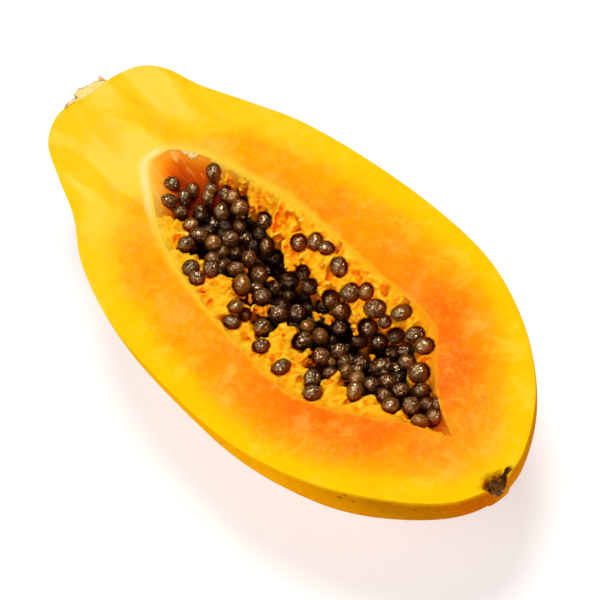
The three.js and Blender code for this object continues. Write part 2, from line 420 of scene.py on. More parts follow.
def flesh_point(column, row):
    side, share = (0, 2 * column / COLUMNS) if 2 * column <= COLUMNS else (1, 2 - 2 * column / COLUMNS)
    t, s = rim.walk(share), hollow.walk(share)
    edge, mouth = rim.at(side, t), hollow.at(side, s)
    inward = (mouth - edge).normalized()
    soft = mouth_round(mouth.x)
    if row <= SKIN:
        point = body_ring(rim, side, t, math.radians(90) * (1 - row / SKIN), lambda _, half: half, 2)
        swell = noise.noise(point / 38) * 0.7 + noise.noise(point / 13) * 0.2
        low = ease(0, 12, CUT - point.z)
        point.y += swell * low * math.copysign(1, point.y) * 0.5
        if point.z > FLAT_BELOW:
            point.z -= swell * low * 0.5
        if row > SKIN - 3:
            point.z -= RIM_ROUND * ease(SKIN - 3, SKIN, row)
        point.z = max(point.z, 0)
    elif row <= SKIN + RIM_EDGE:
        bend = math.radians(90) * (row - SKIN) / RIM_EDGE
        on = edge + inward * RIM_ROUND * (1 - math.cos(bend))
        point = Vector((on.x, on.y, CUT - RIM_ROUND * (1 - math.sin(bend))))
    elif row <= SKIN + RIM_EDGE + FACE:
        w = (row - SKIN - RIM_EDGE) / FACE
        on = (edge + inward * RIM_ROUND).lerp(mouth - inward * soft, w)
        dip = (noise.noise(Vector((on.x / 9, on.y / 9, 4))) + 0.6) * 0.22 * ease(0, 0.1, w) * ease(1, 0.95, w)
        point = Vector((on.x, on.y, CUT - max(dip, 0)))
    elif row <= SKIN + RIM_EDGE + FACE + HOLLOW_EDGE:
        bend = mouth_bend(mouth.x) * (row - SKIN - RIM_EDGE - FACE) / HOLLOW_EDGE
        on = mouth - inward * soft * (1 - math.sin(bend))
        point = Vector((on.x, on.y, CUT - soft * (1 - math.cos(bend))))
    else:
        w = (row - ROWS + WALL) / WALL
        point = body_ring(
            hollow, side, s, math.radians(90) * w,
            lambda at, _: max(stepped(HOLLOW_DEPTHS, at) * HOLLOW_DEPTH - soft, 0.3), wall_power(mouth.x))
        bend = mouth_bend(mouth.x)
        point.z -= soft * (1 - math.cos(bend) + (1 - math.sin(bend)) * min(math.tan(bend), 9))
    if point.x > 120:
        point.z -= SCAR_NOTCH * (1 - ease(0.7, 1.2, scar_reach(point.x, point.y))) * ease(16, 6, CUT - point.z)
    return point


shell = bmesh.new()
bmesh.ops.create_grid(shell, x_segments=COLUMNS, y_segments=ROWS, size=0.5)
inward_layer = shell.verts.layers.float.new("inward")
mouth_layer = shell.verts.layers.float.new("from_hollow")
row_of = {}
for vert in shell.verts:
    column, row = round((vert.co.x + 0.5) * COLUMNS), round((vert.co.y + 0.5) * ROWS)
    vert.co = flesh_point(column, row)
    to_rim, to_mouth = rim.distance(vert.co.x, vert.co.y), hollow.distance(vert.co.x, vert.co.y)
    on_wall = row > SKIN + RIM_EDGE + FACE + 2
    vert[inward_layer] = 1 if on_wall else 0 if row < SKIN else to_rim / (to_rim + to_mouth + 1e-6)
    vert[mouth_layer] = 0 if on_wall else to_mouth
    row_of[vert] = row
for face in shell.faces:
    row = sum(row_of[v] for v in face.verts) / 4
    face.material_index = 0 if row < SKIN + 2 else 1 if row < SKIN + RIM_EDGE + FACE + 3 else 2
print("grid of", COLUMNS, "by", ROWS)
bmesh.ops.remove_doubles(shell, verts=shell.verts, dist=0.002)
bmesh.ops.dissolve_degenerate(shell, edges=shell.edges, dist=0.001)
bmesh.ops.recalc_face_normals(shell, faces=shell.faces)

# %% [markdown]
# ## The lie of the pulp
# The seeds grow on a lining of ragged pulp. A broad shelf of it slopes in from the near edge of the hollow, a deep
# gap runs beside the middle, and the far wall is steep. The depths are the CAD model's own, so the pulp and the
# seeds stay where the solid is. Both pulp and seeds read this one function.

# %% The lie of the pulp
GAP_SIDE = 0.28
PULP_PROFILE = [
    (-1, 0), (-0.72, 1.6), (-0.47, 4.5), (-0.22, 10), (0.06, 16), (0.28, 21), (0.42, 17), (0.64, 7.5), (0.85, 2),
    (1, 0),
]
PULP_SCALES = [0.55, 0.75, 0.95, 1.0, 1.0, 1.0, 0.9, 0.66, 0.4, 0.25]
GAP_SIDES = [0.45, 0.45, 0.4, 0.3, 0.22, 0.25, 0.45, 0.6, 0.6, 0.4]
PULP_FROM, PULP_TO, PULP_SHELF, NECK_FLOOR = along(0.3), along(0.9), 1.0, 11.5


def between(rows, place):
    for (a, low), (b, high) in zip(rows, rows[1:]):
        if place <= b:
            return mix(low, high, min(max((place - a) / (b - a), 0), 1))
    return rows[-1][1]


def lie(x, y):
    """Side from -1 at the near edge to 1 at the far edge, and the pulp's depth below the cut there."""
    middle, half = hollow_at(x)
    side = min(max((y - middle) / half, -1), 1)
    share = (x - PULP_FROM) / (PULP_TO - PULP_FROM)
    gap = stepped(GAP_SIDES, share)
    like = mix(-1, GAP_SIDE, (side + 1) / (gap + 1)) if side < gap else mix(GAP_SIDE, 1, (side - gap) / (1 - gap))
    bedded = PULP_SHELF + stepped(PULP_SCALES, share) * between(PULP_PROFILE, like)
    return side, mix(NECK_FLOOR, bedded, ease(-5, 5, x - PULP_FROM + 4 * math.sin(5 * side)))


stations = [p.x for p in hollow.fine[0]]


def wall_depth(x, y):
    """Depth of the hollow's wall below the cut at a place inside it."""
    middle, half = hollow_at(x)
    side = min(abs(y - middle) / half, 1)
    share = bisect.bisect(stations, x) / FINE
    power, soft = wall_power(x), mouth_round(x)
    return soft + max(stepped(HOLLOW_DEPTHS, share) * HOLLOW_DEPTH - soft, 0.3) * (1 - side**power) ** (1 / power)


# %% [markdown]
# ## Where the seeds lie
# The seeds that show are placed one by one, by their place in the frame: across, down, how far under the pile's
# surface in seed widths, and a letter for the kind. Each then starts at the pile's depth on its line of sight.
# Seeds can't pass through each other, so a few dozen rounds of pushing settle them. A push counts for less across
# the line of sight than along it, so that a seed stays where it appears. Under and between them lie more seeds,
# spread by a seeded rule.

# %% The seeds that show
SEED = 6.7  # mean width of a seed with its skin
TOUCH = 0.465  # two seeds touch when this share of their widths together parts their middles
SHOWN = {
    "neck": [
        (172, 184, 17, 15, 0, "w"), (169, 201, 17, 15, 0, "w"), (184, 198, 15, 17, 0.3, "w"),
        (180, 213, 17, 15, 0, "g"), (193, 190, 15, 17, 0, "g"), (213, 172, 15, 18, 0, "g"),
        (212, 188, 15, 16, 0.1, "g"), (208, 197, 14, 16, 0, "k"), (226, 194, 14, 17, 0.6, "w"),
        (233, 197, 15, 15, 0.1, "k"), (240, 208, 19, 17, 0, "k"), (201, 211, 16, 15, 0.9, "w"),
        (222, 212, 17, 20, 0.4, "g"), (191, 225, 16, 14, 0.2, "k"), (199, 235, 19, 16, 0, "g"),
        (213, 225, 17, 16, 1.4, "w"), (186, 244, 18, 16, 0, "g"),
    ],
    "near side": [
        (213, 243, 17, 17, 0.2, "k"), (212, 259, 15, 15, 0.3, "k"), (191, 268, 17, 17, 0, "w"),
        (197, 278, 16, 15, 0.2, "w"), (211, 269, 16, 18, 0, "w"), (223, 266, 13, 14, 0.7, "k"),
        (236, 269, 18, 15, 0, "g"), (242, 285, 18, 23, 0, "k"), (232, 322, 18, 15, 0.35, "w"),
        (236, 307, 16, 14, 0.15, "k"), (245, 315, 14, 14, 1.0, "w"), (262, 327, 17, 18, 0, "g"),
        (261, 346, 17, 15, 0.3, "w"), (281, 367, 20, 15, 0.1, "w", 25), (302, 341, 21, 17, 0, "w", 35),
        (278, 314, 20, 18, 0, "w"), (312, 378, 17, 19, 0, "w"), (312, 393, 18, 16, 0.1, "w"),
    ],
    "middle": [
        (230, 239, 19, 17, 0, "g"), (240, 226, 15, 16, 0.6, "g"), (222, 252, 15, 15, 0.8, "k"),
        (233, 252, 16, 16, 0.7, "w"), (249, 259, 16, 19, 0, "g"), (267, 247, 15, 20, 0.3, "g"),
        (259, 276, 17, 19, 0, "g"), (262, 297, 19, 18, 0, "w"), (274, 288, 15, 15, 0.6, "w"),
        (257, 289, 16, 14, 0.5, "w"), (297, 314, 18, 19, 0.2, "w"), (307, 327, 15, 14, 0.3, "k"),
        (320, 337, 17, 18, 0, "k"), (321, 357, 19, 19, 0, "g"), (339, 352, 17, 18, 0.1, "g"),
        (329, 363, 15, 13, 0.8, "k"), (345, 362, 15, 15, 0.5, "w"), (329, 373, 17, 14, 1.0, "w"),
        (339, 329, 18, 17, 0.2, "w"), (335, 341, 15, 15, 1.2, "w"), (289, 295, 16, 15, 1.0, "w"),
        (346, 372, 14, 17, 0.8, "k"), (246, 238, 16, 16, 1.5, "w"), (262, 233, 16, 16, 1.5, "w"),
    ],
    "far side": [
        (264, 221, 15, 18, 0.8, "w"), (299, 243, 17, 18, 0, "g"), (315, 242, 15, 18, 0.1, "g"),
        (326, 248, 17, 14, 0.2, "w"), (339, 267, 16, 21, 0, "w"), (290, 281, 19, 18, 0, "w"),
        (303, 273, 14, 16, 0.4, "w"), (310, 287, 17, 17, 0.4, "w"), (331, 299, 18, 18, 0.1, "g"),
        (350, 293, 21, 19, 0, "w", 20), (366, 292, 15, 18, 0.4, "k"), (375, 309, 22, 19, 0, "w"),
        (341, 311, 19, 18, 0.2, "g"), (401, 313, 22, 15, 0, "g", 15), (385, 322, 13, 14, 0.3, "w"),
        (368, 328, 20, 19, 0, "g"), (324, 306, 16, 16, 1.5, "w"), (275, 258, 17, 17, 1.6, "w"),
    ],
    "blossom half": [
        (360, 341, 18, 17, 0.8, "w"), (379, 342, 19, 17, 1.0, "w"), (393, 353, 17, 16, 1.1, "w"),
        (396, 336, 18, 16, 0.7, "w"), (415, 335, 20, 16, 0.1, "w", 20), (424, 346, 21, 17, 0, "g"),
        (406, 350, 17, 15, 0.4, "w"), (407, 362, 18, 16, 0.1, "k"), (397, 371, 17, 19, 0.6, "w"),
        (382, 368, 23, 20, 0.4, "w", 20), (360, 365, 18, 19, 0.8, "w"), (419, 373, 22, 21, -0.7, "g"),
        (421, 391, 17, 17, 0, "g"), (387, 382, 18, 16, 0.2, "w"), (400, 391, 18, 17, 0.2, "w"),
        (371, 385, 16, 16, 0, "g"), (357, 379, 17, 16, 0.2, "k"), (355, 391, 17, 20, 0, "g"),
        (384, 396, 15, 16, 0.2, "g"), (391, 405, 18, 16, 0, "g"), (411, 406, 18, 19, 0, "w"),
        (427, 405, 18, 15, 0.2, "w"), (435, 417, 18, 17, 0, "g"), (420, 421, 18, 14, 0.3, "k"),
        (438, 403, 12, 13, 1.0, "w"), (357, 370, 15, 13, 0.7, "w"),
    ],
}

chance = random.Random(41)
seeds = []
for group in SHOWN.values():
    for across, down, wide, high, under, kind, *tilt in group:
        depth = 6.0
        for _ in range(14):
            place = seen_at(across, down, depth)
            settled = max(lie(place.x, place.y)[1] - 1.2, 1.2) + under * SEED
            depth = mix(depth, min(settled, max(wall_depth(place.x, place.y) - 2.2, 1.2)), 0.5)
        unit = (seen_at(across, down, depth) - stand).length * SENSOR / FRAME / LENS  # mm to one unit of the frame
        toward = -sight(across, down)
        right = (facing.col[0] - toward * facing.col[0].dot(toward)).normalized()
        turned = Matrix((right, toward.cross(right), toward)).transposed() @ Matrix.Rotation(
            math.radians(tilt[0] if tilt else chance.uniform(-14, 14)), 3, "Z")
        wide, high = wide * unit, high * unit
        seeds.append({
            "at": seen_at(across, down, depth), "line": sight(across, down), "home": seen_at(across, down, depth),
            "kind": kind, "size": (wide * high) ** 0.5, "shown": True, "fine": under < 0.5,
            "form": turned @ Matrix.Diagonal((wide / 2, high / 2, (wide * high) ** 0.5 / 2)),
        })

for _ in range(80):
    for i, one in enumerate(seeds):
        for other in seeds[i + 1:]:
            apart = other["at"] - one["at"]
            touch = (one["size"] + other["size"]) * TOUCH
            if 1e-6 < apart.length < touch:
                push = apart.normalized() * (touch - apart.length) * 0.5
                for seed, way in ((one, -1), (other, 1)):
                    in_line = seed["line"] * push.dot(seed["line"])
                    seed["at"] = seed["at"] + way * (in_line * 1.3 + (push - in_line) * 0.35)
    for seed in seeds:
        drift = seed["home"] - seed["at"]
        seed["at"] = seed["at"] + (drift - seed["line"] * drift.dot(seed["line"])) * 0.12
        top = CUT + 1.5 - seed["size"] * 0.35
        if seed["at"].z > top:
            seed["at"] = seed["at"] + seed["line"] * ((top - seed["at"].z) / seed["line"].z)

drift = [((s["at"] - s["home"]) - s["line"] * (s["at"] - s["home"]).dot(s["line"])).length for s in seeds]
print(len(seeds), "seeds show; furthest across its line of sight", round(max(drift), 1), "mm, mean width",
      round(sum(s["size"] for s in seeds) / len(seeds), 2), "mm")
# %% The seeds beneath
shown = len(seeds)
for _ in range(9000):
    x = chance.uniform(-70, 108)
    middle, half = hollow_at(x)
    y = middle + half * chance.uniform(-0.6, 0.75)
    side, depth = lie(x, y)
    floor = min(depth + 9, wall_depth(x, y) - 3)
    low = depth + 4.2 + 9 * chance.random() ** 1.5
    if depth < 4 or low > floor:
        continue
    place, size = Vector((x, y, CUT - low)), chance.uniform(0.9, 1.05) * SEED
    if all((place - s["at"]).length > (size + s["size"]) * 0.46 for s in seeds):
        seeds.append({"at": place, "kind": "beneath", "size": size, "shown": False, "fine": False})
print(len(seeds) - shown, "more beneath")

# %% [markdown]
# ## The broken edges of the pulp
# On both sides the pulp starts level with the cut, as part of the flesh, and ends in a torn edge. The near shelf is
# almost flat. The far one slopes down, so it faces the eye. Past the torn edges there is only a pit full of seeds. As
# with the seeds, the torn edges are given by where they appear in the frame, and so are the larger dents and the
# crumbs of pulp that stand between seeds.

# %% The broken edges
TORN_NEAR = [
    (155, 209), (157, 214), (160, 216), (163, 212.5), (167, 213), (168, 217), (171, 214), (174, 217), (179, 220),
    (183, 222),
    (181, 226), (185, 228), (189, 232), (190, 238), (181, 240), (179, 244), (176, 245), (172, 243), (174, 249),
    (177, 253), (182, 255), (190, 253), (196, 254), (198, 259), (202, 262), (206, 262), (206, 272), (209, 277),
    (215, 275.5), (220, 273.5), (226, 275), (230, 276), (233, 281), (235, 290), (233, 294), (235, 298), (241, 299.5),
    (248, 301), (254, 304), (252, 309), (245, 310), (243, 313), (246, 317), (250, 321), (252, 328), (254, 332),
    (251, 336), (256, 337), (262, 336.5), (268, 334), (272, 330), (273, 326), (279, 327.5), (281, 322), (284, 322),
    (286, 326), (291, 324), (296, 327), (297, 332), (296, 337), (291, 340), (290, 346), (294, 350), (300, 352),
    (306, 351), (308, 356), (305, 362), (308, 367), (307, 372), (303, 380), (303, 386), (302, 392), (306, 398),
    (312, 400), (318, 398), (321, 392), (319, 386), (322, 380), (325, 376), (330, 376.5), (334, 371), (336, 368),
    (340, 370), (342, 374), (340, 380), (335, 386), (337, 389), (341, 385), (346, 384), (348, 389), (347, 396),
    (350, 401), (347, 404.5), (352, 405), (357, 401), (358, 397), (361, 395), (364, 398), (368, 394), (372, 393),
    (375, 397), (377, 402), (381, 405), (382, 409), (387, 411.5), (394, 414), (397, 409.5), (400, 410.5),
    (401.5, 405), (404, 409), (407, 414), (411, 418), (418, 424), (426, 428), (433, 429), (440, 428), (444, 432),
    (447, 433),
]
TORN_FAR = [
    (205, 161), (212, 168), (219, 172), (223, 174), (221, 180), (223, 184), (226, 186), (232, 184), (237, 188),
    (240, 191), (245, 192), (251, 190), (248, 195), (250, 198), (246, 202), (244, 204), (248, 208), (252, 208),
    (256, 204), (255, 209), (258, 211.5), (262, 209), (267, 210), (270, 213), (269, 217), (272, 220), (267, 225),
    (265, 229), (267, 234), (271, 236), (276, 236), (281, 233), (285, 238), (282, 242), (282, 250), (284, 255),
    (282, 260), (285, 264), (291, 263), (296, 260), (299, 265), (304, 265), (306, 269), (309, 273), (304, 279),
    (309, 279), (314, 280), (317, 285), (317, 291), (319, 296), (325, 292), (333, 290), (338, 294), (341, 300),
    (347, 303), (350, 309), (352, 316), (350, 322), (353, 328), (357, 329), (362, 322), (369, 318), (376, 320),
    (381, 325), (383, 331), (386, 333), (392, 331), (398, 330), (404, 327), (404, 335), (407, 339), (412, 344),
    (414, 352), (417, 359), (411, 363), (407, 369), (406, 377), (410, 384), (416, 386), (424, 384), (430, 380),
    (431, 386), (434, 394), (438, 401), (441, 406), (444, 413), (446, 420), (446, 427), (447, 433),
]
DENTS = [  # across, down, half width, half height, depth in mm
    (203, 291, 10, 3, 4.0), (216, 283, 8, 3.5, 1.8), (229, 319, 12, 4.5, 4.6), (245, 333, 6, 5, 1.0),
    (172, 247, 4, 3, 2.4), (186, 250, 5, 4, 2.0), (184, 275, 4, 3, 2.0), (165, 235, 4, 3, 1.4), (304, 362, 4, 3, 3.0),
    (364, 406, 4, 2.5, 0.8), (262, 347, 9, 5, 1.2), (297, 230, 10, 6, 4.5), (337, 252, 10, 7, 3.6),
    (357, 276, 10, 6, 2.4), (387, 295, 7, 7, 3.4), (408, 308, 6, 7, 3.2), (258, 203, 3, 8, 3.5), (308, 223, 4, 4, 1.6),
    (426, 353, 9, 6, 2.6), (418, 371, 8, 6, 2.4), (345, 272, 6, 4, 1.5), (393, 303, 6, 4, 1.6), (440, 408, 5, 7, 1.8),
    (230, 172, 7, 3, 1.0),
]
CRUMBS = [  # across, down, size, depth in mm
    (328, 319, 8, 12), (355, 320, 9, 7.5), (357, 314, 6, 7.5),
    (345, 369, 9, 7), (346, 377, 6, 6), (317, 316, 8, 15), (372, 357, 5, 12), (357, 333, 6, 9), (224, 265, 9, 8),
    (263, 313, 9, 5.5), (256, 308, 8, 5), (268, 308, 6, 6.5), (246, 272, 5, 10), (251, 296, 7, 6), (244, 297, 6, 4),
    (271, 279, 6, 11), (309, 353, 6, 4.5), (312, 362, 6, 6), (240, 194, 4, 6), (222, 190, 5, 9), (240, 217, 7, 12),
    (283, 228, 5, 7), (291, 268, 8, 9), (440, 410, 4, 2), (418, 417, 6, 4.5), (416, 384, 5, 5),
]
GRAIN = {True: 0.57, False: 0.5}  # voxel size of the near and the far side's pulp
NEAR_DROP, FAR_DROP = 2.2, 7.0  # depth of each torn edge below the cut


BETWEEN = 12  # places looked at between two points of a torn edge


class Shelf:
    """One side's pulp, between the hollow's edge and the torn edge, which rises to the cut at both its ends."""

    def __init__(self, points, drop, side):
        torn = [seen_at(a, d, drop * ease(0, 8, i) * ease(0, 8, len(points) - 1 - i)).xy
                for i, (a, d) in enumerate(points)]
        self.drop = drop
        self.ring = torn + [hollow.fine[side][i] for i in range(FINE - 5, FINE // 10, -12)]
        self.tree = kdtree.KDTree(len(torn) * BETWEEN)
        for i, (a, b) in enumerate(zip(torn, torn[1:])):
            for k in range(BETWEEN):
                p = a.lerp(b, k / BETWEEN)
                self.tree.insert((p.x, p.y, 0), i)
        self.tree.balance()

    def reach(self, x, y):
        """Distance to the torn edge, above 0 on the shelf."""
        inside = False
        for p, q in zip(self.ring, self.ring[1:] + self.ring[:1]):
            if (p.y > y) != (q.y > y) and x < mix(p.x, q.x, (y - p.y) / (q.y - p.y)):
                inside = not inside
        away = self.tree.find((x, y, 0))[2]
        return away if inside else -away


PULP_STARTS = {True: -56, False: -64}  # where the near and the far shelf begin
PIT = 9  # depth of the pit past the torn edges, under the seeds' surface
near_shelf, far_shelf = Shelf(TORN_NEAR, NEAR_DROP, 1), Shelf(TORN_FAR, FAR_DROP, 0)
UNIT = 0.385  # mm to one unit of the frame, near the hollow
dents = []
for across, down, half_wide, half_high, depth in DENTS:
    far = down < 245 + (across - 300) * 0.62  # above the line along the middle of the hollow, in the frame
    middle = seen_at(across, down, (FAR_DROP if far else NEAR_DROP) * 0.6)
    flat = [facing.col[i].xy for i in (0, 1)]
    dents.append((middle.xy, flat[0].normalized(), flat[1].normalized(), half_wide * UNIT,
                  half_high * UNIT / math.sin(rise), depth))


def dented(x, y):
    """Depth of the larger dents at a place."""
    total, uneven = 0, noise.fractal(Vector((x / 2.4, y / 2.4, 15)), 0.8, 2.1, 2) * 0.4
    for centre, right, up, wide, high, depth in dents:
        off = Vector((x, y)) - centre
        if off.length < max(wide, high):
            away = ((off.dot(right) / wide) ** 2 + (off.dot(up) / high) ** 2) ** 0.5
            total += depth * (1 - ease(0.1, 1, away + uneven))
    return total


def wander(place):
    """A step of up to about 1 each way that changes smoothly from place to place."""
    return Vector([noise.noise(place + Vector((shift, 0, 0))) for shift in (0, 31.4, 57.7)])


def broken(x, y):
    """Height of the torn surface: flakes of two sizes, each tilted its own way, with steps between them."""
    bend = noise.noise(Vector((x / 9, y / 9, 2))) * 3.5
    height = 0
    for size, share in ((4.2, 1.0), (1.9, 0.5)):
        place = Vector(((x + bend) / size, (y - bend) / size / 1.7, size))
        ragged = place + wander(place * 1.9) * 0.35
        centre = noise.voronoi(ragged)[1][0]
        lean = noise.cell_vector(centre * 7.3) - Vector((0.5, 0.5, 0.5))
        height += share * size * (lean.z * 0.45 + (ragged - centre).dot(lean) * 1.1)
    return height


def pulp_depth(x, y):
    """Depth of the pulp's surface below the cut, and how far it lies onto a shelf."""
    mouth = hollow.distance(x, y)
    middle, half = hollow_at(x)
    if abs(y - middle) > half or x > hollow.fine[0][-1].x:
        mouth = -mouth
    teeth = noise.fractal(Vector((x / 2.6, y / 2.6, 3)), 0.8, 2.1, 3) * 0.55
    near, far = near_shelf.reach(x, y) + teeth, far_shelf.reach(x, y) + teeth
    shelf, on, smooth, steepening = (near_shelf, near, 1.0, 1.9) if near > far else (far_shelf, far, 3.5, 1.7)
    share = max(mouth, 0) / (max(mouth, 0) + max(on, 0) + 0.05)
    torn = ease(-0.2, smooth, mouth)
    lumps = noise.fractal(Vector((x / 8, y / 7, 9)), 0.9, 2.1, 3)
    level = shelf.drop * share**steepening + (lumps * 1.4 - broken(x, y) * 1.15 + 0.45) * torn
    level += dented(x, y)
    pit = max(min(lie(x, y)[1] + PIT, wall_depth(x, y) + 0.6), 3)
    gone = 1 - ease(-0.9, 0.25, on)
    overlap = mouth_round(x) + 0.8 + 0.5 * noise.noise(Vector((x / 1.6, y / 1.6, 11)))
    if mouth > 1.1 - overlap:  # a film over the hollow's edge, which dips into the flesh at its own edge
        proud = mix(-0.05, 0.05, ease(0.1, 1.5, mouth))
    else:
        proud = mix(0.22, -0.05, ease(-overlap, 1.1 - overlap, mouth))
    deep = mix(max(level, proud) if mouth > 0 else proud, max(pit, level), gone if mouth > 0 else 0)
    start = PULP_STARTS[shelf is near_shelf] + noise.noise(Vector((x, y, 0)) / 3) * 1.5
    return mix(deep, max(deep, pit), 1 - ease(start - 0.8, start + 0.4, x)), on


print(len(TORN_NEAR) + len(TORN_FAR), "points on the torn edges")

# %% [markdown]
# ## The pulp
# Torn pulp is a crumbly mass with ledges, fingers and undercuts, which no single bent sheet can give. Each side is
# built as a thick bed over the shelf and the pit beside it, with small stretched balls along the torn edge and the
# crumbs between the seeds. A voxel remesh melts them into one skin, and fine noise roughens it. Last, the skin is
# pressed back wherever a seed sits, so that every seed lies in a cup of its own and none is hidden from the eye.

# %% The pulp
def in_the_way(point, margin):
    """Whether a small thing at point would stand between the eye and a seed."""
    for seed in seeds[:shown]:
        off = point - seed["at"]
        ahead = -off.dot(seed["line"])
        if ahead > -1 and (off + seed["line"] * ahead).length < seed["size"] * 0.5 + margin:
            return True
    return False


def melted(maker, grain):
    """Melts a crowd of overlapping solids into one skin."""
    crowd = bpy.data.meshes.new("crowd")
    maker.to_mesh(crowd)
    maker.free()
    stand_in = bpy.data.objects.new("crowd", crowd)
    bpy.context.collection.objects.link(stand_in)
    melt = stand_in.modifiers.new("melt", "REMESH")
    melt.mode, melt.voxel_size = "VOXEL", grain
    skin = bmesh.new()
    skin.from_mesh(bpy.data.meshes.new_from_object(stand_in.evaluated_get(bpy.context.evaluated_depsgraph_get())))
    bpy.data.objects.remove(stand_in)
    bmesh.ops.smooth_vert(skin, verts=skin.verts, factor=0.4, use_axis_x=True, use_axis_y=True, use_axis_z=True)
    return skin


THINNEST, DEEPEST = 5, 24  # the bed's least thickness, and the depth to which it follows the wall


def pulp(near):
    start = PULP_STARTS[near] - 5
    maker = bmesh.new()
    bmesh.ops.create_grid(maker, x_segments=400, y_segments=86, size=0.5)
    lowest = {}
    for vert in maker.verts:
        x = mix(start, along(0.906), vert.co.x + 0.5)
        middle, half = hollow_at(x)
        gap = stepped(GAP_SIDES, (x - PULP_FROM) / (PULP_TO - PULP_FROM))
        side = mix(-1, gap + 0.06, vert.co.y + 0.5) if near else mix(gap - 0.06, 1, vert.co.y + 0.5)
        y = middle + side * half
        y += (-1 if near else 1) * ease(0.8, 1, abs(side)) * (mouth_round(x) + 1.6)
        deep = pulp_depth(x, y)[0]
        vert.co = (x, y, CUT - deep)
        lowest[vert.co.to_tuple(3)] = CUT - max(min(wall_depth(x, y), DEEPEST) + 0.5, deep + THINNEST)
    made = bmesh.ops.extrude_face_region(maker, geom=maker.faces[:])
    for vert in (v for v in made["geom"] if isinstance(v, bmesh.types.BMVert)):
        vert.co.z = lowest[vert.co.to_tuple(3)]
    bmesh.ops.recalc_face_normals(maker, faces=maker.faces)

    draw = random.Random(7 if near else 8)
    shelf, points = (near_shelf, TORN_NEAR) if near else (far_shelf, TORN_FAR)
    for _ in range(800):
        i = draw.randrange(4, len(points) - 5)
        place = Vector(points[i]).lerp(Vector(points[i + 1]), draw.random())
        spot = seen_at(*place, shelf.drop).xy + Vector((draw.gauss(0, 0.7), draw.gauss(0, 0.7)))
        deep, on = pulp_depth(*spot)
        point = Vector((*spot, CUT - deep - draw.uniform(-0.1, 0.5)))
        if on < -0.8 or deep > shelf.drop + 4 or in_the_way(point, 0.5):
            continue
        heading = math.radians(draw.uniform(-50, 50) + (90 if near else -90))
        way = Vector((math.cos(heading), math.sin(heading), -draw.uniform(0.0, 0.6 if near else 1.2))).normalized()
        size = Matrix.Diagonal((draw.uniform(0.8, 2.3), draw.uniform(0.4, 0.8), draw.uniform(0.3, 0.5), 1))
        bmesh.ops.create_icosphere(maker, subdivisions=1, radius=1, matrix=(
            Matrix.Translation(point) @ way.to_track_quat("X", "Z").to_matrix().to_4x4() @ size))
    return melted(maker, GRAIN[near])


def turned_away(vert):
    """1 on the steep end of the near side's pulp, which faces across the pit, and 0 elsewhere."""
    return ease(0.2, 0.7, vert.normal.y) * ease(2.5, 5, CUT - vert.co.z)


def cupped(skin, rough, grain):
    """Roughens the pulp's skin, stores what its colour and painted shade follow, and presses it back behind seeds."""
    crest, level, buried, from_mouth = [
        skin.verts.layers.float.new(name) for name in ("crest", "level", "buried", "from_mouth")]
    skin.normal_update()
    for vert in skin.verts:
        torn = ease(0.15, 2, CUT - vert.co.z)
        grains = noise.fractal(vert.co / 1.1, 0.7, 2.2, 3) * mix(0.03, rough, torn)
        ledges = noise.fractal(vert.co / 3, 0.8, 2.1, 3) * turned_away(vert)
        vert.co += vert.normal * (grains + ledges)
    skin.normal_update()
    for vert in skin.verts:
        near_by = [edge.other_vert(vert).co for edge in vert.link_edges]
        # crest and level feed the painted light and shade; the near side's steep end is made to read less level, for
        # more shade
        vert[crest] = (vert.co - sum(near_by, Vector()) / max(len(near_by), 1)).dot(vert.normal) / grain
        vert[level] = vert.normal.z - 0.5 * turned_away(vert)
        # painted shade: the deeper below the pile's surface, and the deeper in a dent, the darker the colour
        vert[buried] = CUT - vert.co.z - lie(vert.co.x, vert.co.y)[1] + dented(vert.co.x, vert.co.y) * 0.7
        vert[from_mouth] = hollow.distance(vert.co.x, vert.co.y)
    for _ in range(3):
        eased = [sum(e.other_vert(v)[crest] for e in v.link_edges) / max(len(v.link_edges), 1) for v in skin.verts]
        for vert, value in zip(skin.verts, eased):
            vert[crest] = 0.4 * vert[crest] + 0.6 * value
    for vert in skin.verts:
        for _, i, _ in places.find_range(vert.co, PRESS_REACH):
            seed = seeds[i]
            inside = seed["unform"] @ (vert.co - seed["at"])
            aside = (inside.x + inside.y * 0.8) / max(inside.length, 0.1)
            reach = mix(1.25, 1.55, ease(0, 1.1, aside))  # the shade beside a seed is wider to its upper right
            # painted shadow beside each seed, strongest to its upper right
            vert[buried] += mix(1.2, 3.2, ease(-0.4, 1.1, aside)) * (1 - ease(1.0, reach, inside.length))
            sideways = inside.x**2 + inside.y**2
            if sideways < 1.06 and inside.z > -((1.1 - sideways) ** 0.5):
                inside.z = -((1.1 - sideways) ** 0.5)
                vert.co = seed["at"] + seed["form"] @ inside
                # the cup pressed behind a seed takes painted shade
                vert[buried] = max(vert[buried], 4.5)
        vert.co.z = min(vert.co.z, CUT + PROUD)
    for vert in skin.verts:  # the pressing draws out a cup's sides, which then are as deep a colour as its floor
        if max((edge.calc_length() for edge in vert.link_edges), default=0) > 5 * grain:
            # drawn-out cup sides take the cup's painted shade and count as creases
            vert[crest], vert[buried] = min(vert[crest], -0.25), max(vert[buried], 3.2)
    return skin


PRESS_REACH, PROUD = 15, 0.3  # how far off a seed still presses the pulp, and how far pulp may stand over the cut
places = kdtree.KDTree(shown)
for i, seed in enumerate(seeds[:shown]):
    seed["unform"] = seed["form"].inverted()
    places.insert(seed["at"], i)
places.balance()
pulp_near, pulp_far = [cupped(pulp(near), 0.22, GRAIN[near]) for near in (True, False)]
print("pulp has", len(pulp_near.faces) + len(pulp_far.faces), "faces")

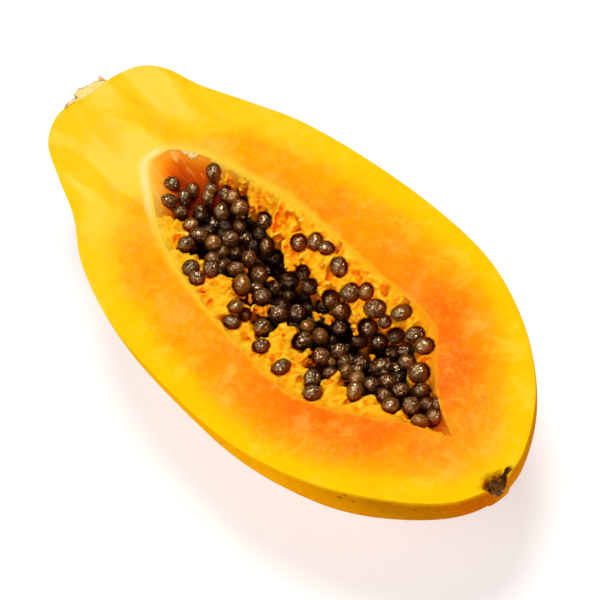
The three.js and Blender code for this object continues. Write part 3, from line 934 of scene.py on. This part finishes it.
# %% The crumbs of pulp between the seeds
heap = bmesh.new()
draw = random.Random(5)
for across, down, wide, deep in CRUMBS:
    for _ in range(7):
        spread = wide * 0.22
        point = seen_at(across + draw.gauss(0, spread), down + draw.gauss(0, spread), deep + draw.gauss(0.4, 0.5))
        way = Vector([draw.gauss(0, 1) for _ in range(3)]).normalized().to_track_quat("X", "Z").to_matrix().to_4x4()
        size = Matrix.Diagonal((draw.uniform(0.45, 0.85), draw.uniform(0.25, 0.42), draw.uniform(0.12, 0.22), 1))
        bmesh.ops.create_icosphere(heap, subdivisions=2, radius=wide * UNIT, matrix=(
            Matrix.Translation(point) @ way @ size))
pulp_crumbs = cupped(melted(heap, 0.35), 0.35, 0.5)
print("crumbs have", len(pulp_crumbs.faces), "faces")

# %% [markdown]
# ## The seeds
# A papaya seed is a dark, knobbly stone in a wet, see-through skin. Where the skin has dried or burst, the stone's
# knobs show; where it is full, the seed is a smooth glossy bead with a few dents. All start as small icospheres,
# turned and stretched a little, and each kind is then dented by its own noise. A tint is stored for each seed.

# %% The seeds' form
def dent(kind, point):
    """How far a point on a seed of radius 1 moves outwards."""
    if kind in ("w", "beneath"):
        lumps = 0.3 - 1.2 * noise.voronoi(point * 2.4)[0][0] ** 2
        return 0.16 * lumps + 0.09 * noise.noise(point * 1.1)
    folds = -0.05 * (1 - abs(noise.noise(point * 2.1)) * 3) if abs(noise.noise(point * 2.1)) < 1 / 3 else 0
    return 0.08 * noise.noise(point * 1.3) + 0.03 * noise.noise(point * 4.2) + folds * (1 if kind == "g" else 0.7)


def seed_maker(kind):
    maker = bmesh.new()
    tint = maker.verts.layers.float.new("tint")
    draw = random.Random(len(kind) * 3)
    for i, seed in enumerate(seeds):
        if seed["kind"] != kind:
            continue
        form = seed["form"] if seed["shown"] else Matrix.Rotation(draw.uniform(0, 6.28), 3, Vector(
            (draw.gauss(0, 1), draw.gauss(0, 1), draw.gauss(0, 1))).normalized()) @ Matrix.Diagonal(
            (seed["size"] * 0.56, seed["size"] * 0.5, seed["size"] * 0.47))
        made = bmesh.ops.create_icosphere(maker, subdivisions=4 if seed["fine"] else 3, radius=1)
        shade, start = draw.random(), Vector((i * 3.1, i * 1.7, i * 2.3))
        for vert in made["verts"]:
            round_place = vert.co.copy()
            vert.co = seed["at"] + form @ (round_place * (1 + dent(kind, round_place + start)))
            vert[tint] = shade
    return maker


# %% [markdown]
# ## The dry scars and the flake
# The stalk broke off at the stem end and left a low corky stub, with a thin torn frill standing along its outer edge.
# The flower left a dark crumbly knot in a notch at the other end. Both were cut through with the fruit, so each is a
# rough round body that is sliced level with the cut face. In the neck a pale flake of the hollow's lining hangs
# over the far edge; it is a thin sheet laid over that edge and then thickened.

# %% The scars' form
STUB_REACH = [  # across, and how far the stub stands out from the stem end there
    (-13.2, 0.2), (-11.5, 1.6), (-8.6, 1.8), (-6.4, 1.9), (-5.6, 3.8), (-3.0, 4.9), (0.4, 4.5), (3.2, 4.1),
    (5.6, 3.6), (8.2, 3.2), (9.6, 0.4),
]


def sliced(maker, height):
    bmesh.ops.bisect_plane(maker, geom=maker.verts[:] + maker.edges[:] + maker.faces[:], dist=1e-5,
                           plane_co=(0, 0, height), plane_no=(0, 0, 1), clear_outer=True)
    filled = bmesh.ops.holes_fill(maker, edges=[e for e in maker.edges if e.is_boundary], sides=0)
    around_cut = {edge for face in filled["faces"] for edge in face.edges}
    bmesh.ops.split_edges(maker, edges=list(around_cut))  # keeps the cut's edge crisp
    return maker


stalk = bmesh.new()
made = bmesh.ops.create_icosphere(stalk, subdivisions=6, radius=1)
for vert in made["verts"]:
    p = vert.co.copy()
    y = -1.8 + p.y * 11.2
    bark = noise.fractal(p * 4.5, 0.8, 2, 3) * 0.5
    if p.x < 0:
        low = math.hypot(p.y, p.z)
        x = -between(STUB_REACH, y) * (1 - low**5) * mix(1, 0.7, abs(p.z)) - bark * (1 - low**4)
    else:
        x = p.x * 2.0
    vert.co = Vector((along(0) + 0.5 + x, MIDDLE.y + y, CUT + p.z * 10.4))
sliced(stalk, CUT - 0.1)

frill = bmesh.new()
bmesh.ops.create_grid(frill, x_segments=170, y_segments=10, size=0.5)
for vert in frill.verts:
    y = mix(-13.0, 9.3, vert.co.x + 0.5)
    ragged = noise.fractal(Vector((y / 1.4, 3, 1)), 0.8, 2.2, 3) * 0.45
    peak = 0.35 + ragged + 1.5 * (1 - ease(0, 1.3, abs(y - 7.9))) + 0.5 * (1 - ease(0, 2.5, abs(y + 2.5)))
    height = mix(-4.5, peak, vert.co.y + 0.5)
    lean = noise.noise(Vector((y / 2.2, height / 2, 6))) * 0.35 + max(height, 0) * 0.35
    vert.co = Vector((along(0) + 0.6 - between(STUB_REACH, y) - lean, MIDDLE.y + y, CUT + height))
bmesh.ops.solidify(frill, geom=frill.faces[:], thickness=0.55)
bmesh.ops.recalc_face_normals(frill, faces=frill.faces)

flower = bmesh.new()
made = bmesh.ops.create_icosphere(flower, subdivisions=6, radius=1)
for vert in made["verts"]:
    p = vert.co.copy()
    crumbs = noise.fractal(p * 3.2, 0.9, 2.1, 3) * 0.12 + (0.4 - noise.voronoi(p * 1.9)[0][0]) * 0.6
    middle = Vector((SCAR_X + 0.5, SCAR_Y - 0.4, CUT - 3.1))
    vert.co = middle + Vector((p.x * 2.6, p.y * 3.9, p.z * 3.1)) * (1 + crumbs)
    if vert.co.z > CUT - 0.2:
        vert.co.z = CUT - 0.2 + (vert.co.z - CUT + 0.2) * 0.3

flake = bmesh.new()
bmesh.ops.create_grid(flake, x_segments=150, y_segments=22, size=0.5)
LIP = SKIN + RIM_EDGE + FACE
FLAKE_FROM, FLAKE_TO = -82.0, -69.4
mouth_columns = [flesh_point(column, LIP).x for column in range(COLUMNS // 2)]
for vert in flake.verts:
    u, v = vert.co.x + 0.5, vert.co.y + 0.5
    x = mix(FLAKE_FROM, FLAKE_TO, u)
    i = bisect.bisect(mouth_columns, x)
    column = i + (x - mouth_columns[i]) / (mouth_columns[i + 1] - mouth_columns[i])
    ragged = noise.fractal(Vector((x / 1.5, 1, 5)), 0.8, 2.2, 4)
    width = mix(3.5, 10, ease(0.1, 0.7, u)) * ease(1.05, 0.88, u) + ragged * 2.6 * ease(0, 0.2, u)
    point = flesh_point(column, LIP + 1.5 + max(width, 0.5) * v)
    lift = mix(-0.3, 0.1, ease(0, 0.25, v)) + 0.3 * ease(0.7, 1, v)
    curl = noise.noise(Vector((x / 2.5, v * 2, 8))) * 0.2 * v
    vert.co = point + Vector((0.15, -0.5, 0.8)) * (lift + curl)
bmesh.ops.solidify(flake, geom=flake.faces[:], thickness=0.25)
bmesh.ops.recalc_face_normals(flake, faces=flake.faces)
print("scars:", len(stalk.faces), "and", len(flower.faces), "faces; frill", len(frill.faces), "flake", len(flake.faces))

# %% [markdown]
# ## The finishes
# Ripe flesh lets light in a little way and glows, so every soft part scatters some light under its surface. Its
# colour follows two things: how far in it lies from the skin, and how far along the fruit, because the blossom end
# ripens first. The inward share was stored on the mesh; the rest is read from the place itself.

# %% The finish of the cut flesh
WARM = (1.0, 0.66, 0.16, 1)
SOFT = {"Subsurface_Weight": 0.25, "Subsurface_Radius": (1.0, 0.42, 0.08), "Subsurface_Scale": 0.004,
        "Specular_Tint": WARM}

flesh = Finish("cut_flesh", Roughness=0.4, Specular_IOR_Level=0.1, **SOFT)
x, y, _ = flesh.axes()
inward, from_hollow = flesh.attribute("inward"), flesh.attribute("from_hollow")
share = (x - MIDDLE.x) / LENGTH + 0.5

# how ripe it is, from yellow to deep orange
ripe_along = Number(flesh, flesh.ramp(
    share, (0.0, 0.0), (0.12, 0.02), (0.2, 0.12), (0.28, 0.3), (0.36, 0.44), (0.5, 0.57), (0.62, 0.68), (0.74, 0.9),
    (0.83, 1.0), (0.89, 0.7), (0.95, 0.42), (1.0, 0.3)))
ripe_in = Number(flesh, flesh.ramp(
    inward, (0.0, 0.0), (0.15, 0.1), (0.27, 0.25), (0.42, 0.55), (0.57, 0.8), (0.75, 1.0), (1.0, 1.0)))
mottle = flesh.noise(20, 3, 0.6) - 0.5
fine_mottle = flesh.noise(6, 4, 0.65, distortion=0.4) - 0.5
ripe = ripe_along * ripe_in * 0.95 + (mottle * 0.7 + fine_mottle * 0.4) * (ripe_in * 0.75 + 0.12)
yellow = flesh.blend(share.above(0.1, 0.6), colour(254, 204, 24), colour(254, 197, 2))
orange = flesh.ramp(
    ripe, (0.0, 254, 188, 2), (0.3, 254, 168, 2), (0.55, 254, 148, 4), (0.8, 254, 122, 6), (1.0, 254, 100, 6))

# patterns in the flesh
clouds = flesh.noise(15, 7, 0.68, distortion=0.3)
drifts = flesh.noise(11, 5, 0.6, distortion=0.6)
mealy = flesh.noise(2.6, 4, 0.7, distortion=0.6)
in_neck = 1 - share.above(0.17, 0.34)
pale_bands = flesh.noise(1, 2, 0.5, where=flesh.stretched(1 / 60, 1 / 15, 1 / 15), distortion=0.5)
worms = 1 - (abs(flesh.noise(2.2, 2, 0.6, distortion=0.8) - 0.5) * 16).above(0.2, 1.0)
worms = worms * flesh.noise(26, 3).above(0.5, 0.62) * ripe_in.above(0.1, 0.5)

# bands round the hollow
wavy = (flesh.noise(7, 2) - 0.5) * 2.5
lining_width = share.above(0.66, 0.3) * 3.5 + 1.5
lining = 1 - ((from_hollow + wavy) / lining_width).above(0.15, 1.0)
lining_colour = flesh.ramp(
    share, (0.3, 255, 208, 60), (0.5, 255, 198, 38), (0.66, 255, 176, 22), (0.8, 255, 158, 18))
near_edge = (y + (flesh.noise(9, 1) - 0.5) * 5).above(6, 0)
cream = (from_hollow + wavy * 0.4).above(0.2, 2.2) * (1 - (from_hollow + wavy).above(2.6, 5.2))
cream = cream * share.above(0.34, 0.22) * near_edge
around = share.above(0.3, 0.22) * (1 - (from_hollow + wavy).above(2, 9))

# stains at the two scars
off_scar = [(x - SCAR_X - 0.5) / SCAR_LONG, (y - SCAR_Y) / SCAR_WIDE]
from_scar = (off_scar[0] * off_scar[0] + off_scar[1] * off_scar[1]) ** 0.5 + (flesh.noise(2.2, 3, 0.6) - 0.5) * 0.5
tongue = (x - 138.4 - (y - 3.5) * 0.06 + (flesh.noise(2, 2) - 0.5) * 1.2) / 1.15
tongue = (1 - (tongue * tongue).above(0.3, 1.4)) * y.above(0, 1.5) * y.above(8, 5.5)
stalk_line = (x + 139.0 + (flesh.noise(2, 2) - 0.5) * 0.8) / 0.9
stalk_line = (1 - (stalk_line * stalk_line).above(0.3, 1.2)) * y.above(-13.5, -12) * y.above(-6.5, -8)

base = flesh.layered(
    flesh.blend(ripe.above(0.0, 0.3), yellow, orange),
    (clouds.above(0.52, 0.66) * ripe_in.above(0.15, 0.6) * 0.36, 255, 190, 74),
    (clouds.above(0.47, 0.33) * ripe_in.above(0.3, 0.8) * ripe_along.above(0.1, 0.6) * 0.4, 254, 104, 16),
    (drifts.above(0.5, 0.68) * (0.4 - ripe_in * 0.3), 255, 212, 62),
    (drifts.above(0.46, 0.3) * 0.3, 254, 170, 2),
    (mealy.above(0.52, 0.68) * ripe_in.above(0.05, 0.5) * 0.14, 255, 206, 100),
    (pale_bands.above(0.44, 0.64) * in_neck * 0.8, 255, 218, 80),
    (pale_bands.above(0.44, 0.26) * in_neck * 0.6, 254, 182, 2),
    (worms * 0.16, 255, 206, 104))
base = flesh.layered(
    flesh.blend(lining * 0.75, base, lining_colour),
    (cream * 0.9, 255, 230, 160),
    (around * 0.22, 255, 222, 100),
    (1 - from_scar.above(0.9, 1.12), 206, 112, 8),
    (1 - from_scar.above(0.75, 1.0), 96, 36, 4),
    (tongue, 70, 32, 8),
    (stalk_line, 226, 138, 6))
flesh.show(Base_Color=base)
flesh.relief((flesh.noise(3.5, 3, 0.6), 0.5, 0.3), (worms, 0.2, 0.3), (mealy, 0.3, 0.3))

# %% [markdown]
# The skin is thin and waxy, yellow to orange, and painted a duller ochre towards the keel, as shade under the fruit.
# It has small brown freckles and a few patches that have turned deeper orange. It mirrors nothing, because a white
# room mirrored at a slant would veil its yellow.

# %% The finish of the skin
MARKS = [  # along, across, height, and length in mm of each brown mark
    (104.0, -42.0, 56.2, 1.7), (108.2, -39.4, 55.7, 1.0), (106.3, -40.8, 59.0, 1.4), (126.1, -26.1, 55.8, 0.8),
]
skin = Finish("waxy_skin", Specular_IOR_Level=0.0,
              Subsurface_Weight=0.12, Subsurface_Radius=(1.0, 0.4, 0.1), Subsurface_Scale=0.003)
x, y, z = skin.axes()
share = (x - MIDDLE.x) / LENGTH + 0.5
patches = skin.noise(34, 3, 0.55)
speckle = skin.noise(2.4, 5, 0.75, distortion=0.5)
freckles = (1 - skin.cells(7).above(0.05, 0.13)) * skin.noise(11, 1).above(0.5, 0.6)


def brown_mark(px, py, pz, long):
    off = [(x - px) / long, (y - py) / (long * 0.6), (z - pz) / 0.7]
    away = (off[0] * off[0] + off[1] * off[1] + off[2] * off[2]) ** 0.5 + (skin.noise(1.5, 3) - 0.5) * 0.8
    return 1 - away.above(0.5, 1.1)


base = skin.ramp(
    share + (patches - 0.5) * 0.08, (0.0, 254, 190, 4), (0.55, 252, 176, 2), (0.76, 248, 164, 1), (0.86, 220, 140, 1),
    (0.92, 190, 118, 1), (0.955, 190, 112, 1), (0.975, 210, 104, 2))
base = skin.layered(
    base,
    (share.above(0.86, 0.95) * y.above(-5, 2), 238, 140, 8),
    (speckle.above(0.5, 0.72) * 0.3, 150, 84, 2),
    (speckle.above(0.46, 0.3) * 0.3, 255, 186, 20),
    (freckles * 0.75, 122, 66, 10),
    *[(brown_mark(*mark) * 0.85, 120, 58, 2) for mark in MARKS],
    # painted shade: a duller ochre towards the keel
    ((CUT - z + (patches - 0.5) * 12).above(9, 26) * 0.5, 214, 112, 2),
    ((CUT - z + (speckle - 0.5) * 2).above(2.4, 0.2) * 0.6, 254, 190, 6))
skin.show(Base_Color=base, Roughness=skin.noise(9, 2) * 0.16 + 0.3)
skin.relief((skin.noise(5, 3), 0.5, 0.2), (skin.noise(0.7, 2), 0.08, 0.3))

# %% [markdown]
# The hollow's own wall shows only at the neck. It is smooth and wet. On the near side it turns over from the cut
# through a pale cream, and it goes through orange to a deep red-brown at the bottom, partly its own colour and partly
# painted shade, with pale streaks that run in from the mouth. The flesh behind the near side is thin, so some light
# comes through it there; a painted glow on that side stands in for it.

# %% The finish of the hollow's wall
wall = Finish("hollow_wall", Roughness=0.35, Specular_IOR_Level=0.0, Emission_Strength=0.22, **SOFT)
x, y, z = wall.axes()
down = (CUT - z) / 20 + (wall.noise(8, 2) - 0.5) * 0.08
# the deepest stops are partly the wall's own colour and partly painted shade at the bottom
deepest = (0.62, 170, 48, 4), (0.85, 96, 20, 4)
pale = wall.ramp(down, (0.0, 255, 206, 96), (0.08, 255, 180, 50), (0.19, 255, 156, 20), (0.3, 244, 122, 9),
                 (0.45, 214, 82, 5), *deepest)
warm = wall.ramp(down, (0.0, 246, 168, 50), (0.1, 238, 140, 26), (0.22, 216, 94, 8), (0.4, 198, 70, 4), *deepest)
far_wall = (y + (x + 82) * 0.3).above(0, 8)
streaks = wall.noise(1, 3, 0.6, where=wall.stretched(1 / 14, 1 / 2.4, 1 / 14), distortion=0.4)
flakes = wall.noise(2.2, 4, 0.7).above(0.48, 0.62) * (y + 6).above(1.5, -1.5) * down.above(0.3, 0.12)
base = wall.layered(
    wall.blend(far_wall, pale, warm),
    (streaks.above(0.54, 0.7) * down.above(0.5, 0.1) * 0.6, 255, 200, 96),
    (flakes * 0.5, 255, 204, 120))
# painted glow on the near side, for the light through the thin flesh
painted_glow = wall.layered(colour(0, 0, 0), ((1 - far_wall) * down.above(0.45, 0.1), 255, 168, 50))
wall.show(Base_Color=base, Emission_Color=painted_glow)
wall.relief((streaks, 0.6, 0.3), (flakes, 0.4, 0.5), (wall.noise(2.5, 2), 0.3, 0.25))

# %% [markdown]
# Pulp is painted brightest yellow where it stands out, as painted light, with paler strands, and orange where it is
# steep, folded in or close to a seed, as painted shade. In the pit past the torn edges it is painted nearly as dark as
# the seeds, as shade, because little light comes back out of there. What this needs was stored on the mesh. The crumbs
# between the seeds lie deeper, so they get more painted shade.

# %% The finishes of the pulp
def pulp_surface(name, shade_depth, glow):
    """The number after the name deepens the painted shade, in mm; glow is how far light goes in, in m."""
    made = Finish(name, Roughness=0.36, Specular_IOR_Level=0.2, Subsurface_Weight=0.6,
                  Subsurface_Radius=(1.0, 0.3, 0.05), Subsurface_Scale=glow, Specular_Tint=WARM)
    x, y, _ = made.axes()
    crest, level, buried, from_mouth = [
        made.attribute(layer) for layer in ("crest", "level", "buried", "from_mouth")]
    strands = made.noise(1, 3, 0.6, where=made.stretched(1 / 1.6, 1 / 4, 1 / 3), distortion=0.6)
    # painted light and shade: crests lighter, creases and steep faces darker, with paler strands and patches of tone
    painted_light = crest * 1.7 + 0.6 + (made.noise(6, 3, 0.6) - 0.5) * 0.8 + (strands - 0.5) * 0.5 - (1 - level) * 0.35
    base = made.ramp(painted_light, (0.0, 200, 72, 2), (0.25, 242, 120, 3), (0.5, 255, 172, 8), (0.75, 255, 194, 34),
                     (1.0, 255, 222, 112))
    # steep faces are painted orange, as painted shade
    base = made.layered(base, (level.above(0.7, 0.1) * 0.5, 250, 132, 4))
    edge_colour = made.ramp((x + 60) / 170, (0.0, 255, 200, 56), (0.35, 255, 188, 34), (0.6, 255, 164, 18),
                            (1.0, 255, 142, 14))
    base = made.layered(
        made.blend(from_mouth.above(2.6, 0.3) * 0.8, base, edge_colour),
        ((1 - x.above(-60, -53)) * 0.5, 255, 188, 84),
        (x.above(40, 95) * y.above(-2, 8) * 0.5, 244, 130, 5),
        # crumbs get an even painted shade as well
        (0.35 if shade_depth else 0, 206, 104, 10),
        # painted shade: orange where the stored shade is slight, nearly black where it is deep, as in the pit
        ((buried + shade_depth).above(0.8, 4.5), 200, 88, 3),
        ((buried + shade_depth * 0.5).above(3.0, 7.5), 40, 9, 3))
    made.show(Base_Color=base)
    made.relief((strands, 0.5, 0.3), (made.noise(0.9, 3, 0.6), 0.14, 0.35))
    return made


pulp_finish, crumb_finish = pulp_surface("torn_pulp", 0, 0.002), pulp_surface("crumbs_of_pulp", 3.6, 0.0006)

# %% [markdown]
# Seeds are wet and shiny. Bump breaks the highlight into the small bright strokes that wrinkled wet skin gives. The
# stored tint makes some seeds browner and some nearly black.

# %% The finishes of the seeds
def seed_finish(name, darkest, lightest, wrinkle, shine):
    made = Finish(name, Roughness=0.16, IOR=2.1, Specular_IOR_Level=shine, Specular_Tint=(1.0, 0.7, 0.38, 1),
                  Subsurface_Weight=0.15, Subsurface_Radius=(1.0, 0.4, 0.1), Subsurface_Scale=0.0015)
    shade = made.noise(2.0, 3, 0.6) * 1.1 + made.attribute("tint") * 0.5 - 0.35
    made.show(Base_Color=made.ramp(shade, (0.1, *darkest), (0.85, *lightest)))
    folds = made.noise(1.7, 1, 0.5, distortion=1.4)
    made.relief((abs(folds - 0.5), 0.9 * wrinkle, 1.0), (made.cells(1.2), 0.24 * wrinkle, 1.0))
    return made


wrinkled = seed_finish("wrinkled_seed", (24, 6, 1), (100, 48, 6), 1.0, 1.0)
glossy = seed_finish("glossy_seed", (48, 19, 1), (124, 68, 8), 0.7, 1.0)
khaki = seed_finish("khaki_seed", (78, 38, 4), (152, 94, 18), 0.6, 0.95)
# the seeds beneath are painted darker than the rest, as the shade of the pit
shaded_beneath = seed_finish("shaded_beneath_seed", (14, 4, 1), (40, 12, 3), 0.9, 0.3)

# %% [markdown]
# The stub is pale inside like the flesh next to it, and its frill is papery, tan along its rim, with one brown nick
# where the stub steps out. The flower's knot is dark brown with a few paler crumbs. The flake is the palest of all.

# %% The finishes of the scars and the flake
def papery_finish(name, darkest, middle, lightest):
    made = Finish(name, Roughness=0.6, Specular_IOR_Level=0.12, Subsurface_Weight=0.3,
                  Subsurface_Radius=(1.0, 0.6, 0.3), Subsurface_Scale=0.002)
    x, y, z = made.axes()
    fibre = made.noise(1.5, 4, 0.65)
    nick = (1 - ((y + 5.7) * (y + 5.7)).above(0.2, 0.9)) * (CUT - z).above(2.5, 1.5) * x.above(-139.5, -140.5)
    made.show(Base_Color=made.layered(
        made.ramp(fibre, (0.3, *darkest), (0.46, *middle), (0.68, *lightest)), (nick * 0.85, 150, 84, 34)))
    made.relief((fibre, 0.3, 0.4), (made.noise(0.5, 3), 0.1, 0.4))
    return made


corky = papery_finish("corky_stub", (250, 206, 90), (254, 222, 124), (255, 232, 160))
papery = papery_finish("papery_frill", (236, 176, 112), (250, 206, 146), (255, 232, 190))
flaky = papery_finish("pale_flake", (250, 168, 64), (255, 196, 104), (255, 222, 158))

crumbly = Finish("crumbly_scar", Roughness=0.35, Specular_IOR_Level=0.6, Specular_Tint=WARM)
crumb = crumbly.noise(1.9, 4, 0.7)
crumbly.show(Base_Color=crumbly.ramp(
    crumb, (0.32, 34, 10, 2), (0.5, 96, 46, 8), (0.62, 130, 74, 16), (0.75, 156, 104, 46)))
crumbly.relief((crumb, 1.0, 0.9), (crumbly.noise(0.6, 3), 0.3, 0.7))

# %% [markdown]
# ## Putting the pieces together
# Each finished mesh becomes one piece of the object. It rides on the only body, hides the solid it stands for, and
# takes its own finishes.

# %% The pieces
finished(shell, "papaya_flesh", [skin, flesh, wall], "flesh")
finished(stalk, "stalk_scar", [corky], "flesh")
finished(frill, "stalk_frill", [papery], "flesh")
finished(flake, "lining_flake", [flaky], "flesh")
finished(flower, "flower_scar", [crumbly], "flesh")
finished(pulp_near, "pulp_near_side", [pulp_finish], "seed_mass")
finished(pulp_far, "pulp_far_side", [pulp_finish], "seed_mass")
finished(pulp_crumbs, "pulp_crumbs", [crumb_finish], "seed_mass")
for kind, name, finish in (("w", "seeds_wrinkled", wrinkled), ("g", "seeds_glossy", glossy),
                           ("k", "seeds_khaki", khaki), ("beneath", "seeds_beneath", shaded_beneath)):
    finished(seed_maker(kind), name, [finish], "seed_mass")

# %% [markdown]
# ## The room
# An even white room lights the fruit from all sides. A soft light overhead gives the seeds their highlights and lets
# the skin fall away into shade under the rim, and a wider one in front reaches into the hollow. The floor glows a
# little, which keeps the shadow on it pale. The plain Standard view keeps the bright yellows clean, where a filmic
# one would turn them olive.

# %% The room
floor_maker = bmesh.new()
bmesh.ops.create_grid(floor_maker, x_segments=1, y_segments=1, size=3)
floor_mesh = bpy.data.meshes.new("floor")
floor_maker.to_mesh(floor_mesh)
floor_maker.free()
floor_finish = Finish("pale_floor", Roughness=0.8, Specular_IOR_Level=0.1, Base_Color=colour(196, 196, 196),
                      Emission_Color=(1, 1, 1, 1), Emission_Strength=0.6)
floor_mesh.materials.append(floor_finish.material)
floor = bpy.data.objects.new("floor", floor_mesh)
bpy.context.collection.objects.link(floor)

world = bpy.data.worlds.new("room")
bpy.context.scene.world = world
world.use_nodes = True
world.node_tree.nodes["Background"].inputs["Color"].default_value = (1, 1, 1, 1)
world.node_tree.nodes["Background"].inputs["Strength"].default_value = 0.12


def soft_light(name, place, watts, size):
    lamp = bpy.data.lights.new(name, "AREA")
    lamp.energy, lamp.shape, lamp.size = watts, "DISK", size
    made = bpy.data.objects.new(name, lamp)
    aim = (LOOK_AT / 1000 - Vector(place)).to_track_quat("-Z", "Y")
    made.matrix_world = Matrix.LocRotScale(Vector(place), aim, None)
    bpy.context.collection.objects.link(made)


soft_light("overhead", (0.02, 0.16, 0.98), 6.9, 0.38)
soft_light("front", (0.15, -0.7, 0.6), 3.9, 0.9)
bpy.context.scene.view_settings.view_transform = "Standard"
bpy.context.scene.view_settings.look = "None"
